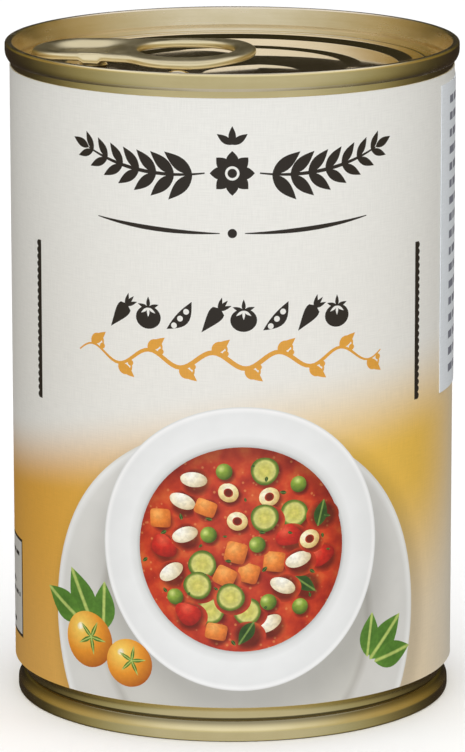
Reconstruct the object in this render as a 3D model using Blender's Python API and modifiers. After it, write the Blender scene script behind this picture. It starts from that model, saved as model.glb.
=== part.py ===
"""A shut ring-pull food can with a paper label and an extra side sticker, for 425 ml of soup.

Metres, +Z up. The origin is the centre of the circle that the can stands on. The middle of the
label faces -Y, and the nose of the ring pull points to -X.
"""

import math

import bmesh
import bpy
from mathutils import Matrix, Vector

MM = 0.001

# The can as a whole
CAN_HEIGHT = 110.0 * MM
SEGMENTS = 64
BODY_RADIUS = 36.6 * MM
NECK_RADIUS = 35.25 * MM
CLEARANCE = 0.3 * MM
THIN_CLEARANCE = 0.2 * MM
WELD_DISTANCE = 0.005 * MM
SMOOTH_BELOW_DEGREES = 40.0

# Upper double seam, whose outer side leans in towards the body
TOP_SEAM_RADIUS = 37.53 * MM
TOP_SEAM_HEIGHT = 2.9 * MM
TOP_SEAM_LEAN = 1.5 * MM
TOP_SEAM_LEAN_ROUND = 2.4 * MM
SEAM_THICKNESS = 1.2 * MM
SEAM_OUTER_ROUND = 0.5 * MM
SEAM_INNER_ROUND = 0.4 * MM

# Easy-open end: depths are measured down from the top of the seam
CHUCK_WALL_LOW_RADIUS = 35.3 * MM
CHUCK_WALL_OUTSIDE = 35.85 * MM
COUNTERSINK_DEPTH = 4.85 * MM
COUNTERSINK_WIDTH = 0.9 * MM
PANEL_DEPTH = 3.75 * MM
TERRACE_DEPTH = 4.05 * MM
CENTRE_DEPTH = 4.35 * MM
END_UNDERSIDE_DEPTH = 5.8 * MM
PANEL_EDGE_RADIUS = 34.1 * MM
PANEL_EDGE_LAST_DEGREES = 20.0
OUTER_STEP = (30.2 * MM, 28.0 * MM)
INNER_STEP = (23.0 * MM, 21.5 * MM)

# Lower double seam and end
BOTTOM_SEAM_RADIUS = 36.25 * MM
BOTTOM_SEAM_HEIGHT = 3.8 * MM
BOTTOM_SEAM_LEAN_ROUND = 2.75 * MM
BOTTOM_SEAM_LEAN_DEGREES = 52.0
BOTTOM_SEAM_STRAIGHT = 1.6 * MM
FOOT_ROUND = 0.4 * MM
FOOT_FLAT = 0.4 * MM
BOTTOM_WALL_RADIUS = 34.85 * MM
BOTTOM_COUNTERSINK = 3.15 * MM
BOTTOM_COUNTERSINK_ROUND = 0.4 * MM
BOTTOM_PANEL_RADIUS = 33.85 * MM
BOTTOM_PANEL = 2.1 * MM
BOTTOM_BEADS = (27.5 * MM, 19.0 * MM)
BOTTOM_BEAD_HALF_WIDTH = 1.4 * MM
BOTTOM_BEAD_RISE = 0.5 * MM

# Necked shoulder of the body, under the label
SHOULDER_TOP = 6.9 * MM
SHOULDER_FOOT = 4.4 * MM
SHOULDER_POINTS = 5

# Paper label
LABEL_RADIUS = 36.75 * MM
LABEL_THICKNESS = 0.25 * MM
LABEL_GAP = 0.15 * MM
LABEL_FOOT = 5.95 * MM
LABEL_TOP = 106.0 * MM

# Extra sticker on the right-hand side of the label
STICKER_START_DEGREES = 68.0
STICKER_WIDTH = 50.0 * MM
STICKER_FOOT = 53.2 * MM
STICKER_TOP = 104.35 * MM
STICKER_THICKNESS = 0.3 * MM
STICKER_STRIPS = 12

# Ring pull, in its own frame: x runs from the nose to the ring, and 0 is the rivet
RIVET_PLACE = (-22.9 * MM, 0.0)
TAB_TURN_DEGREES = -3.0
TAB_TOP_DEPTH = 1.35 * MM
TAB_THICKNESS = 1.45 * MM
TAB_ROUND = 0.5 * MM
NOSE_CENTRE = -1.5 * MM
NOSE_LENGTH = 8.6 * MM
NOSE_HALF_WIDTH = 7.2 * MM
RING_CENTRE = 16.2 * MM
RING_RADIUS = 10.7 * MM
WAIST_HALF_WIDTH = 5.6 * MM
OUTLINE_BLEND = 3.5
OUTLINE_POINTS = 24
HOLE_CENTRE = 15.3 * MM
HOLE_HALF_LENGTH = 8.0 * MM
HOLE_HALF_WIDTH = 6.8 * MM
HOLE_POINTS = 28

# Rivet, formed from the panel, and the round dish that it sits in
RIVET_SHANK_RADIUS = 1.5 * MM
RIVET_HEAD_RADIUS = 2.7 * MM
RIVET_HEAD_THICKNESS = 0.45 * MM
RIVET_BOSS_RADIUS = 2.8 * MM
RIVET_HOLE_RADIUS = 1.9 * MM
DISH_RADIUS = 4.0 * MM
DISH_DEPTH = 0.65 * MM
RIVET_SIDES = 24

# Finger well under the ring, and the two small beads that keep the ring from turning
WELL_CENTRE_X = 3.7 * MM
WELL_HALF_SIZE = (7.2 * MM, 9.0 * MM, 1.4 * MM)
WELL_FLOOR_DEPTH = 5.3 * MM
WELL_SIDES = 24
STOP_BEAD_PLACE = (-8.8 * MM, 8.2 * MM)
STOP_BEAD_HALF_SIZE = (2.3 * MM, 1.4 * MM, 0.6 * MM)
STOP_BEAD_SIDES = 16


def clear_scene():
    for obj in list(bpy.data.objects):
        bpy.data.objects.remove(obj, do_unlink=True)


def make_collection(name):
    collection = bpy.data.collections.new(name)
    bpy.context.scene.collection.children.link(collection)
    return collection


def make_material(name, colour, roughness, metallic):
    material = bpy.data.materials.new(name)
    material.use_nodes = True
    shader = material.node_tree.nodes["Principled BSDF"]
    shader.inputs["Base Color"].default_value = (*colour, 1.0)
    shader.inputs["Roughness"].default_value = roughness
    shader.inputs["Metallic"].default_value = metallic
    return material


def make_object(name, mesh, collection, material=None):
    obj = bpy.data.objects.new(name, mesh)
    collection.objects.link(obj)
    if material:
        mesh.materials.append(material)
    return obj


def mesh_from(name, fill):
    """A smooth-shaded mesh filled by a function that works on a bmesh."""
    shape = bmesh.new()
    fill(shape)
    mesh = bpy.data.meshes.new(name)
    shape.to_mesh(mesh)
    shape.free()
    shade_smooth(mesh)
    return mesh


def shade_smooth(mesh):
    mesh.shade_smooth()
    mesh.set_sharp_from_angle(angle=math.radians(SMOOTH_BELOW_DEGREES))


def arc(centre_r, centre_z, radius, start_degrees, end_degrees, steps):
    """Points (r, z) along an arc, both ends included. 0 degrees points outward and 90 up."""
    points = []
    for i in range(steps + 1):
        angle = math.radians(start_degrees + (end_degrees - start_degrees) * i / steps)
        points.append((centre_r + radius * math.cos(angle), centre_z + radius * math.sin(angle)))
    return points


def turned(name, profile, collection, material, closed=False):
    """A solid of revolution from (r, z) points that run from the top, down the outer side, to the bottom."""

    def fill(shape):
        vertices = [shape.verts.new((r, 0.0, z)) for r, z in profile]
        for first, second in zip(vertices, vertices[1:]):
            shape.edges.new((first, second))
        if closed:
            shape.edges.new((vertices[-1], vertices[0]))

    obj = make_object(name, mesh_from(name, fill), collection, material)
    screw = obj.modifiers.new("Screw", "SCREW")
    screw.axis = "Z"
    screw.steps = SEGMENTS
    screw.render_steps = SEGMENTS
    screw.use_merge_vertices = True
    screw.merge_threshold = WELD_DISTANCE
    screw.use_smooth_shade = True
    return obj


def as_cutter(obj):
    obj.hide_render = True
    obj.display_type = "WIRE"
    return obj


def add_boolean(obj, other, operation):
    modifier = obj.modifiers.new(f"{operation.title()} {other.name}", "BOOLEAN")
    modifier.operation = operation
    modifier.object = other
    modifier.solver = "EXACT"


def round_pillar(name, radius, low, high, place, collection):
    """An upright cylinder between two heights, to cut or join with."""

    def fill(shape):
        bmesh.ops.create_cone(shape, cap_ends=True, segments=RIVET_SIDES, radius1=radius,
                              radius2=radius, depth=high - low)

    obj = make_object(name, mesh_from(name, fill), collection)
    obj.location = (*place, (low + high) / 2)
    return as_cutter(obj)


def ellipsoid(name, half_size, place, collection, sides):
    """An ellipsoid with half as many rings as sides, to cut or join with."""

    def fill(shape):
        bmesh.ops.create_uvsphere(shape, u_segments=sides, v_segments=sides // 2, radius=1.0)
        bmesh.ops.scale(shape, vec=Vector(half_size), verts=shape.verts)

    obj = make_object(name, mesh_from(name, fill), collection)
    obj.location = place
    return as_cutter(obj)


def shoulder_profile(start_radius):
    """Points (r, z) down the necked shoulder, an S-shaped curve from the body to the neck."""
    points = []
    for i in range(SHOULDER_POINTS + 1):
        t = i / SHOULDER_POINTS
        ease = t * t * (3 - 2 * t)
        radius = start_radius + (NECK_RADIUS - start_radius) * ease
        points.append((radius, SHOULDER_TOP + (SHOULDER_FOOT - SHOULDER_TOP) * t))
    return points


def make_body(parts, metal):
    """The tinplate body with its contents, one solid, because the can is shut."""
    rim_top = CAN_HEIGHT - TOP_SEAM_HEIGHT - CLEARANCE
    recess_floor = CAN_HEIGHT - END_UNDERSIDE_DEPTH - CLEARANCE
    rim_inside = CHUCK_WALL_OUTSIDE + THIN_CLEARANCE
    under_label = LABEL_RADIUS - LABEL_THICKNESS - LABEL_GAP
    bare_band_foot = LABEL_TOP + LABEL_GAP
    body_foot = BOTTOM_SEAM_HEIGHT + CLEARANCE
    rim = [
        (0.0, recess_floor),
        (rim_inside, recess_floor),
        (rim_inside, rim_top),
        (BODY_RADIUS, rim_top),
        (BODY_RADIUS, bare_band_foot),
        (under_label, bare_band_foot),
    ]
    foot = [(NECK_RADIUS, body_foot), (0.0, body_foot)]
    return turned("can_body", rim + shoulder_profile(under_label) + foot, parts, metal)


def panel_profile(top):
    """Points (r, z) from the middle of the panel over its two steps to its rounded edge."""
    steps = [
        (0.0, top - CENTRE_DEPTH),
        (INNER_STEP[1], top - CENTRE_DEPTH),
        (INNER_STEP[0], top - TERRACE_DEPTH),
        (OUTER_STEP[1], top - TERRACE_DEPTH),
        (OUTER_STEP[0], top - PANEL_DEPTH),
    ]
    edge = arc(PANEL_EDGE_RADIUS - SEAM_INNER_ROUND, top - PANEL_DEPTH - SEAM_INNER_ROUND,
               SEAM_INNER_ROUND, 90, PANEL_EDGE_LAST_DEGREES, 2)
    return steps + edge


def top_seam_profile(top):
    """Points (r, z) over the crest of the upper seam and down its leaning outer side."""
    inside = TOP_SEAM_RADIUS - SEAM_THICKNESS
    crest_inside = arc(inside + SEAM_INNER_ROUND, top - SEAM_INNER_ROUND, SEAM_INNER_ROUND, 180, 90, 3)
    crest_outside = arc(TOP_SEAM_RADIUS - SEAM_OUTER_ROUND, top - SEAM_OUTER_ROUND,
                        SEAM_OUTER_ROUND, 90, 0, 3)
    lean_degrees = math.degrees(math.asin(TOP_SEAM_LEAN / TOP_SEAM_LEAN_ROUND))
    lean = arc(TOP_SEAM_RADIUS - TOP_SEAM_LEAN_ROUND, top - TOP_SEAM_HEIGHT + TOP_SEAM_LEAN,
               TOP_SEAM_LEAN_ROUND, 0, -lean_degrees, 3)
    return crest_inside + crest_outside + lean


def make_top_end(parts, cutters, metal):
    """The easy-open end: panel, countersink, chuck wall and double seam, with its rivet, well and beads."""
    top = CAN_HEIGHT
    groove_round = COUNTERSINK_WIDTH / 2
    groove = arc(CHUCK_WALL_LOW_RADIUS - groove_round, top - COUNTERSINK_DEPTH + groove_round,
                 groove_round, 180, 360, 4)
    underside = [
        (CHUCK_WALL_OUTSIDE, top - TOP_SEAM_HEIGHT),
        (CHUCK_WALL_OUTSIDE, top - END_UNDERSIDE_DEPTH),
        (0.0, top - END_UNDERSIDE_DEPTH),
    ]
    profile = panel_profile(top) + groove + top_seam_profile(top) + underside
    end = turned("top_end", profile, parts, metal)
    cut_finger_well(end, cutters)
    add_stop_beads(end, cutters)
    add_rivet(end, cutters)
    return end


def cut_finger_well(end, cutters):
    centre_z = CAN_HEIGHT - WELL_FLOOR_DEPTH + WELL_HALF_SIZE[2]
    place = (WELL_CENTRE_X, 0.0, centre_z)
    add_boolean(end, ellipsoid("finger_well", WELL_HALF_SIZE, place, cutters, WELL_SIDES), "DIFFERENCE")


def add_stop_beads(end, cutters):
    for side, word in ((-1, "front"), (1, "back")):
        place = (STOP_BEAD_PLACE[0], side * STOP_BEAD_PLACE[1], CAN_HEIGHT - CENTRE_DEPTH)
        bead = ellipsoid(f"stop_bead_{word}", STOP_BEAD_HALF_SIZE, place, cutters, STOP_BEAD_SIDES)
        add_boolean(end, bead, "UNION")


def add_rivet(end, cutters):
    """A boss under the ring pull, a shank through its hole and a flat head in its dish."""
    tab_top = CAN_HEIGHT - TAB_TOP_DEPTH
    head_foot = tab_top - DISH_DEPTH + THIN_CLEARANCE
    head_top = head_foot + RIVET_HEAD_THICKNESS
    root = CAN_HEIGHT - CENTRE_DEPTH - RIVET_HEAD_THICKNESS
    levels = (
        ("rivet_boss", RIVET_BOSS_RADIUS, root, tab_top - TAB_THICKNESS - CLEARANCE),
        ("rivet_shank", RIVET_SHANK_RADIUS, root, (head_foot + head_top) / 2),
        ("rivet_head", RIVET_HEAD_RADIUS, head_foot, head_top),
    )
    for name, radius, low, high in levels:
        add_boolean(end, round_pillar(name, radius, low, high, RIVET_PLACE, cutters), "UNION")


def make_bottom_end(parts, metal):
    """The plain lower end with its double seam, foot ring, countersink and two rings of beads."""
    foot_outside = BOTTOM_SEAM_RADIUS - FOOT_ROUND
    foot_inside = foot_outside - FOOT_FLAT
    profile = [(0.0, BOTTOM_SEAM_HEIGHT), (NECK_RADIUS - CLEARANCE, BOTTOM_SEAM_HEIGHT)]
    profile += arc(BOTTOM_SEAM_RADIUS - BOTTOM_SEAM_LEAN_ROUND, BOTTOM_SEAM_STRAIGHT,
                   BOTTOM_SEAM_LEAN_ROUND, BOTTOM_SEAM_LEAN_DEGREES, 0, 4)
    profile += arc(foot_outside, FOOT_ROUND, FOOT_ROUND, 0, -90, 3)
    profile += arc(foot_inside, FOOT_ROUND, FOOT_ROUND, -90, -180, 2)
    profile += arc(BOTTOM_WALL_RADIUS - BOTTOM_COUNTERSINK_ROUND,
                   BOTTOM_COUNTERSINK - BOTTOM_COUNTERSINK_ROUND, BOTTOM_COUNTERSINK_ROUND, 0, 180, 4)
    profile.append((BOTTOM_PANEL_RADIUS, BOTTOM_PANEL))
    for bead in BOTTOM_BEADS:
        profile += [
            (bead + BOTTOM_BEAD_HALF_WIDTH, BOTTOM_PANEL),
            (bead, BOTTOM_PANEL + BOTTOM_BEAD_RISE),
            (bead - BOTTOM_BEAD_HALF_WIDTH, BOTTOM_PANEL),
        ]
    profile.append((0.0, BOTTOM_PANEL))
    return turned("bottom_end", profile, parts, metal)


def make_label(parts, paper):
    inside = LABEL_RADIUS - LABEL_THICKNESS
    profile = [
        (inside, LABEL_TOP),
        (LABEL_RADIUS, LABEL_TOP),
        (LABEL_RADIUS, LABEL_FOOT),
        (inside, LABEL_FOOT),
    ]
    return turned("label", profile, parts, paper, closed=True)


def make_sticker(parts, paper):
    """A rectangular sheet bent round the label."""
    radius = LABEL_RADIUS + THIN_CLEARANCE
    start = math.radians(STICKER_START_DEGREES)
    sweep = STICKER_WIDTH / radius
    middle_height = (STICKER_FOOT + STICKER_TOP) / 2

    def fill(shape):
        bmesh.ops.create_grid(shape, x_segments=STICKER_STRIPS, y_segments=1, size=0.5)
        for vertex in shape.verts:
            angle = start + sweep * (vertex.co.x + 0.5)
            height = middle_height + (STICKER_TOP - STICKER_FOOT) * vertex.co.y
            vertex.co = (radius * math.sin(angle), -radius * math.cos(angle), height)

    sticker = make_object("side_sticker", mesh_from("side_sticker", fill), parts, paper)
    solidify = sticker.modifiers.new("Solidify", "SOLIDIFY")
    solidify.thickness = STICKER_THICKNESS
    solidify.offset = 1.0
    return sticker


def tab_half_width(x):
    """Half the width of the ring pull at x: nose, waist and ring blended into one smooth outline."""
    nose = 1 - ((x - NOSE_CENTRE) / NOSE_LENGTH) ** 2
    ring = 1 - ((x - RING_CENTRE) / RING_RADIUS) ** 2
    total = 0.0
    if nose > 0:
        total += (NOSE_HALF_WIDTH * math.sqrt(nose)) ** OUTLINE_BLEND
    if ring > 0:
        total += (RING_RADIUS * math.sqrt(ring)) ** OUTLINE_BLEND
    if NOSE_CENTRE < x < RING_CENTRE:
        share = (x - NOSE_CENTRE) / (RING_CENTRE - NOSE_CENTRE)
        total += WAIST_HALF_WIDTH ** OUTLINE_BLEND * math.sin(math.pi * share) ** 2
    return total ** (1 / OUTLINE_BLEND)


def tab_outline():
    """Points round the ring pull, closest together at its two round ends."""
    first = NOSE_CENTRE - NOSE_LENGTH
    last = RING_CENTRE + RING_RADIUS
    upper = []
    for i in range(OUTLINE_POINTS + 1):
        x = first + (last - first) * (1 - math.cos(math.pi * i / OUTLINE_POINTS)) / 2
        upper.append((x, tab_half_width(x)))
    lower = [(x, -y) for x, y in upper[-2:0:-1]]
    return upper + lower


def hole_outline():
    points = []
    for i in range(HOLE_POINTS):
        angle = 2 * math.pi * i / HOLE_POINTS
        points.append((HOLE_CENTRE + HOLE_HALF_LENGTH * math.cos(angle), HOLE_HALF_WIDTH * math.sin(angle)))
    return points


def mesh_of_curve(curve_object, collection, material):
    """The curve's evaluated mesh as an object of its own, with its caps joined to its sides."""
    graph = bpy.context.evaluated_depsgraph_get()
    mesh = bpy.data.meshes.new_from_object(curve_object.evaluated_get(graph))
    shape = bmesh.new()
    shape.from_mesh(mesh)
    bmesh.ops.remove_doubles(shape, verts=shape.verts, dist=WELD_DISTANCE)
    shape.to_mesh(mesh)
    shape.free()
    shade_smooth(mesh)
    name = curve_object.name
    place = curve_object.matrix_world.copy()
    bpy.data.objects.remove(curve_object, do_unlink=True)
    mesh.materials.clear()
    obj = make_object(name, mesh, collection, material)
    obj.matrix_world = place
    return obj


def flat_plate(name, outlines, thickness, edge_round, matrix, collection):
    """A 2D curve with rounded edges. A second outline inside the first is a hole."""
    curve = bpy.data.curves.new(name, "CURVE")
    curve.dimensions = "2D"
    curve.fill_mode = "BOTH"
    curve.extrude = thickness / 2 - edge_round
    curve.bevel_depth = edge_round
    curve.bevel_resolution = 1
    curve.offset = -edge_round
    for outline in outlines:
        spline = curve.splines.new("POLY")
        spline.points.add(len(outline) - 1)
        for point, (x, y) in zip(spline.points, outline):
            point.co = (x, y, 0.0, 1.0)
        spline.use_cyclic_u = True
    plate = bpy.data.objects.new(name, curve)
    collection.objects.link(plate)
    plate.matrix_world = matrix
    bpy.context.view_layer.update()
    return plate


def make_pull_tab(parts, cutters, metal):
    """The ring pull: a plate with rolled edges, an open ring, and a dish for the rivet."""
    top = CAN_HEIGHT - TAB_TOP_DEPTH
    foot = top - TAB_THICKNESS
    turn = Matrix.Rotation(math.radians(TAB_TURN_DEGREES), 4, "Z")
    place = Matrix.Translation((*RIVET_PLACE, (top + foot) / 2)) @ turn
    plate = flat_plate("pull_tab", (tab_outline(), hole_outline()), TAB_THICKNESS, TAB_ROUND, place, parts)
    tab = mesh_of_curve(plate, parts, metal)
    above = top + CLEARANCE
    dish = round_pillar("rivet_dish", DISH_RADIUS, top - DISH_DEPTH, above, RIVET_PLACE, cutters)
    hole = round_pillar("rivet_hole", RIVET_HOLE_RADIUS, foot - CLEARANCE, above, RIVET_PLACE, cutters)
    add_boolean(tab, dish, "DIFFERENCE")
    add_boolean(tab, hole, "DIFFERENCE")
    return tab


def main():
    clear_scene()
    parts = make_collection("soup_can")
    cutters = make_collection("cutters")
    gold_metal = make_material("gold_tinplate", (0.55, 0.47, 0.27), 0.28, 1.0)
    ring_metal = make_material("tab_tinplate", (0.62, 0.53, 0.32), 0.24, 1.0)
    label_paper = make_material("label_paper", (0.86, 0.82, 0.75), 0.62, 0.0)
    sticker_paper = make_material("sticker_paper", (0.80, 0.82, 0.86), 0.5, 0.0)
    make_body(parts, gold_metal)
    make_top_end(parts, cutters, gold_metal)
    make_bottom_end(parts, gold_metal)
    make_pull_tab(parts, cutters, ring_metal)
    make_label(parts, label_paper)
    make_sticker(parts, sticker_paper)


main()
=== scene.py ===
"""Looks of a shut ring-pull food can: fine metal ends, ring pull, printed paper label and sticker."""
import math
import random

import bmesh
import bpy
from mathutils import Matrix, Vector
from mathutils.geometry import delaunay_2d_cdt
from mathutils.kdtree import KDTree


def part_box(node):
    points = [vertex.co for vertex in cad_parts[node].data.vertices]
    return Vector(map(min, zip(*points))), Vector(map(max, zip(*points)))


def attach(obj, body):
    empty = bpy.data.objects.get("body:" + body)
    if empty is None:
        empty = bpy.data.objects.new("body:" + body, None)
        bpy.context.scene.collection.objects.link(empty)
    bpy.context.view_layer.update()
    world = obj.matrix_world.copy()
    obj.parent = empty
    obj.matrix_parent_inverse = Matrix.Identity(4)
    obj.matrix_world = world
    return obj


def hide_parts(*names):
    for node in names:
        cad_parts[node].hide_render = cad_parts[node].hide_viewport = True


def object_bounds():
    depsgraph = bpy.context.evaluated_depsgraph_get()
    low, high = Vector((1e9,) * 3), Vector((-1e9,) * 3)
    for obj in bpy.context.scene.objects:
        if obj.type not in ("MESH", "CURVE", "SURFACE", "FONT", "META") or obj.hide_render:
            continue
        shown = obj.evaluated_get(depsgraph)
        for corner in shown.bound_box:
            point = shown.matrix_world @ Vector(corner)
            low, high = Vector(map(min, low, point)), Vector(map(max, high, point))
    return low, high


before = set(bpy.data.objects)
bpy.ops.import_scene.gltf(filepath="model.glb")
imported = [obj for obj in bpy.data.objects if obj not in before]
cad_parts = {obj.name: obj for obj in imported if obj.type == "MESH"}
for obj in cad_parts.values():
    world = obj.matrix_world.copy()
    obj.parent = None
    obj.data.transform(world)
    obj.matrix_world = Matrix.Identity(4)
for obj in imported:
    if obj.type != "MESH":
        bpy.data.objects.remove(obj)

# Lengths are in millimetres where nothing else is said, and meshes are scaled to metres as they are made
MM = 0.001
CAD_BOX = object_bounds()

# Camera, fitted to the outlines of the can in the photo, in metres
CAMERA_PLACE = Vector((0.0, -822.24, 234.71)) * MM
CAMERA_PITCH = 0.2175
CAMERA_ROLL = -0.0011
CAMERA_LENS = 240.83
SENSOR_WIDTH = 36.0

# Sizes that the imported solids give
CAN_TOP = CAD_BOX[1].z / MM
SEAM_RADIUS = CAD_BOX[1].x / MM
LABEL_LOW, LABEL_HIGH = (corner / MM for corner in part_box("label"))
LABEL_RADIUS = LABEL_HIGH.x
STICKER_LOW, STICKER_HIGH = (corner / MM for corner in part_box("side_sticker"))

# Turned metal
TURN_SEGMENTS = 256
BODY_RADIUS = 36.6
BODY_WALL = 0.25
SEAM_CLEARANCE = 0.02

# Upper double seam and easy-open end: depths are measured down from the top of the seam
TOP_SEAM_HEIGHT = 2.9
TOP_SEAM_LEAN = 1.5
TOP_SEAM_LEAN_ROUND = 2.4
SEAM_THICKNESS = 1.2
SEAM_OUTER_ROUND = 0.5
SEAM_INNER_ROUND = 0.4
CREST_EDGE = 0.22
CHUCK_WALL_LEAN_DEGREES = 14.4
CHUCK_WALL_BEND = (35.58, 3.3)
WALL_FOOT_ROUND = 6.0
WALL_FOOT_LEAN_DEGREES = 24.0
COUNTERSINK_DEPTH = 4.85
COUNTERSINK_ROUND = 0.45
END_UNDERSIDE_DEPTH = 5.8
PANEL_EDGE_RADIUS = 34.1
PANEL_EDGE_ROUND = 0.4
PANEL_DEPTH = 3.65
OUTER_STEP = (27.5, 30.1)
OUTER_STEP_DROP = 0.55
TERRACE_DROP = 0.1
INNER_STEP = (18.9, 21.2)
INNER_STEP_DROP = 0.18
SCORE_RADIUS = 32.2
SCORE_HALF_WIDTH = 0.18
SCORE_DEPTH = 0.14
PANEL_RING_STEP = 0.3

# Relief of the panel: a finger well, a wide dish, a swelling and the ring's stop bead
WELL_PLACE = (-7.0, -0.8)
WELL_HALF_SIZE = (11.5, 17.8)
WELL_DROP = 0.32
DISH_PLACE = (2.0, -0.8)
DISH_HALF_SIZE = (19.0, 11.5)
DISH_DROP = 0.09
SWELL_PLACE = (3.2, -6.8)
SWELL_HALF_SIZE = (8.3, 8.3)
SWELL_RISE = 0.16
STOP_BEAD_PLACE = (-8.8, -11.2)
STOP_BEAD_HALF_SIZE = (2.4, 1.5)
STOP_BEAD_RISE = 1.25
STOP_BEAD_FULLNESS = 0.6

# Lower double seam and end
BOTTOM_SEAM_RADIUS = 36.25
BOTTOM_SEAM_HEIGHT = 3.8
BOTTOM_SEAM_STRAIGHT = 1.5
BOTTOM_SEAM_BEND_ROUND = 0.9
BOTTOM_SEAM_LEAN_DEGREES = 27.0
BOTTOM_SEAM_SLOPE_TOP = 3.1
BOTTOM_SEAM_TOP_ROUND = 0.9
BOTTOM_SEAM_TOP_DEGREES = 62.0
FOOT_ROUND = 0.4
FOOT_FLAT = 0.4
BOTTOM_WALL_RADIUS = 34.85
BOTTOM_COUNTERSINK = 3.15
BOTTOM_COUNTERSINK_ROUND = 0.4
BOTTOM_PANEL_RADIUS = 33.85
BOTTOM_PANEL_RINGS = 90
BOTTOM_PANEL = 2.1
BOTTOM_BEADS = (27.5, 19.0)
BOTTOM_BEAD_HALF_WIDTH = 1.4
BOTTOM_BEAD_RISE = 0.5

# Necked shoulder of the body, under the label
NECK_RADIUS = 35.3
SHOULDER_TOP = 6.9
SHOULDER_FOOT = 4.3
SHOULDER_STEPS = 16

# Ring pull, in its own frame: x runs from the nose to the ring, and 0 is the rivet
RIVET_PLACE = (-22.9, 0.0)
TAB_TURN_DEGREES = -3.0
NOSE_CENTRE = -1.5
NOSE_LENGTH = 8.6
NOSE_HALF_WIDTH = 7.2
RING_CENTRE = 16.2
RING_RADIUS = 10.7
TAB_ENDS = (NOSE_CENTRE - NOSE_LENGTH, RING_CENTRE + RING_RADIUS)
WAIST_HALF_WIDTH = 7.7
OUTLINE_BLEND = 3.5
HOLE_CENTRE = 15.3
HOLE_HALF_LENGTH = 8.0
HOLE_HALF_WIDTH = 6.8
TAB_OUTLINE_POINTS = 110
TAB_HOLE_POINTS = 120
RIVET_HOLE_POINTS = 48
TAB_HOLE_ROLL_WIDTH = 1.4
TAB_OUTER_ROLL_WIDTH = 1.5
TAB_ROLL_LOOPS = 9
TAB_LOOP_SLACK = 0.03
TAB_GRID = 0.4
TAB_GRID_MARGIN = 0.2
TAB_MEASURE_STEP = 0.06
TAB_WELD = 0.0005
TAB_HALF_THICKNESS = (0.6, 0.7)
TAB_UNDER_SHARE = (1.3, 1.05)
LUG_REACH = 1.9
LUG_DEPTH = 0.8
LUG_DROP = 0.62
TAB_SIDE_TILT = 0.042
TAB_DOME = 0.02
TAB_DOME_START = 6.5
RING_MIDDLE_DEPTH = 2.14
NOSE_LIFT = 0.46
NOSE_LIFT_REACH = 14.0
RING_END_LIFT = 0.18
BASIN_EDGE = (1.6, 4.7)
BASIN_END = (8.0, 1.5)
BASIN_FLOOR_DROP = 0.5
BASIN_FADE = 0.011
ROLL_SQUARENESS = 2.6
BELLY_DROP = 0.35
BELLY_END = 11.0

# Rivet
RIVET_SEGMENTS = 64
RIVET_HOLE_RADIUS = 1.9
RIVET_SHANK_RADIUS = 1.5
RIVET_HEAD_RADIUS = 2.7
RIVET_HEAD_THICKNESS = 0.45
RIVET_HEAD_RISE = 0.22
RIVET_HEAD_DIP = 0.1
RIVET_BOSS_RADIUS = 1.25
RIVET_BOSS_LEAN = 0.5
RIVET_FOOT_ROUND = 0.2
RIVET_CLEARANCE = 0.05

# Metals: name, lacquer colour, roughness, stretch of the rolled grain, and bump where it isn't the usual
LID_METAL = ("lid_tinplate", (0.93, 0.84, 0.66), 0.05, (60.0, 1800.0, 1800.0))
CHUCK_METAL = ("chuck_tinplate", (0.93, 0.82, 0.62), 0.24, (60.0, 60.0, 900.0))
WALL_METAL = ("wall_tinplate", (0.92, 0.79, 0.45), 0.2, (40.0, 40.0, 900.0))
FOOT_METAL = ("foot_tinplate", *WALL_METAL[1:])
RING_METAL = ("ring_tinplate", (0.92, 0.80, 0.50), 0.34, (300.0, 300.0, 300.0), 0.01)
# Painted shade: a near-black metal for the middle of the ring pull's underside, standing in for the shadow
# under the tab
UNDERSIDE_SHADE_METAL = ("tab_hollow", (0.10, 0.08, 0.045), 0.5, (90.0, 1500.0, 1500.0))
MOTTLE_STRETCH = (190.0, 190.0, 260.0)
UNEVEN_RANGE = (0.3, 0.7)
DEEPER_LACQUER = (0.95, 0.93, 0.86)
PALER_LACQUER = 1.05
GLOSS_SHARES = (0.82, 1.2)
GRAIN_HEIGHT = 0.02 * MM
# Painted shade on the lower seam's upper slope: between these object heights the lacquer darkens from full
# to the last share, towards the neck
GROOVE_SHADE = (2.05 * MM, 3.2 * MM, 1.0, 0.36)

# Printed sheets: u runs round the can from the middle of the front, v up from the floor, both in mm
PAPER_THICKNESS = 0.13
STRIP_DEGREES = 2.0
TRIM = 0.03
BAKE_MARGIN = 0.001
BACK_SEAM = -9.0
LAP = 8.0
LAP_SLOPE = 1.5
LAP_LIFT = PAPER_THICKNESS + 0.02
STICKER_GAP = 0.04
STICKER_START = math.radians(67.5)
STICKER_WIDTH = 50.0
STICKER_BARS_LOW = (4.6, 2.6)
STICKER_BARS_HIGH = (2.5, 0.8)
STICKER_ROWS = 17
STICKER_BAR_SHARE = 0.46

# Layout of the label
HEAD_CENTRE = (0.0, 94.0)
HEAD_SPRIG = (0.0, 98.6)
HEAD_RULE_HEIGHT = 84.3
ROW_CENTRE = (-0.8, 70.5)
ROW_COUNT = 8
ROW_PITCH = 5.2
VINE = (-27.0, 26.0, 63.6)
VINE_WAVE = 10.6
VINE_SWING = 1.3
VINE_STEPS = 80
SCALLOP_PITCH = 1.12
SCALLOP_EDGE = (0.95, 0.42)
STRIPES = ((34.5, 53.8, 80.0, 1), (-37.0, 53.7, 80.0, -1))
CHARGER_CENTRE = (0.5, 19.5)
CHARGER_RADIUS = 33.5
PLATE_CENTRE = (1.5, 32.4)
PLATE_RADIUS = 23.6
SOUP_RADIUS = 17.0
SOUP_SEED = 7
SCATTER_TRIES = 6000
SOUP_PIECES = (
    "courgette", "bean", "carrot", "tomato", "pasta", "pea", "courgette", "basil", "bean", "carrot", "pea",
)
GOLD_TOMATOES = (((-25.6, 15.2), 4.9), ((-17.6, 12.4), 4.2))
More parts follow.
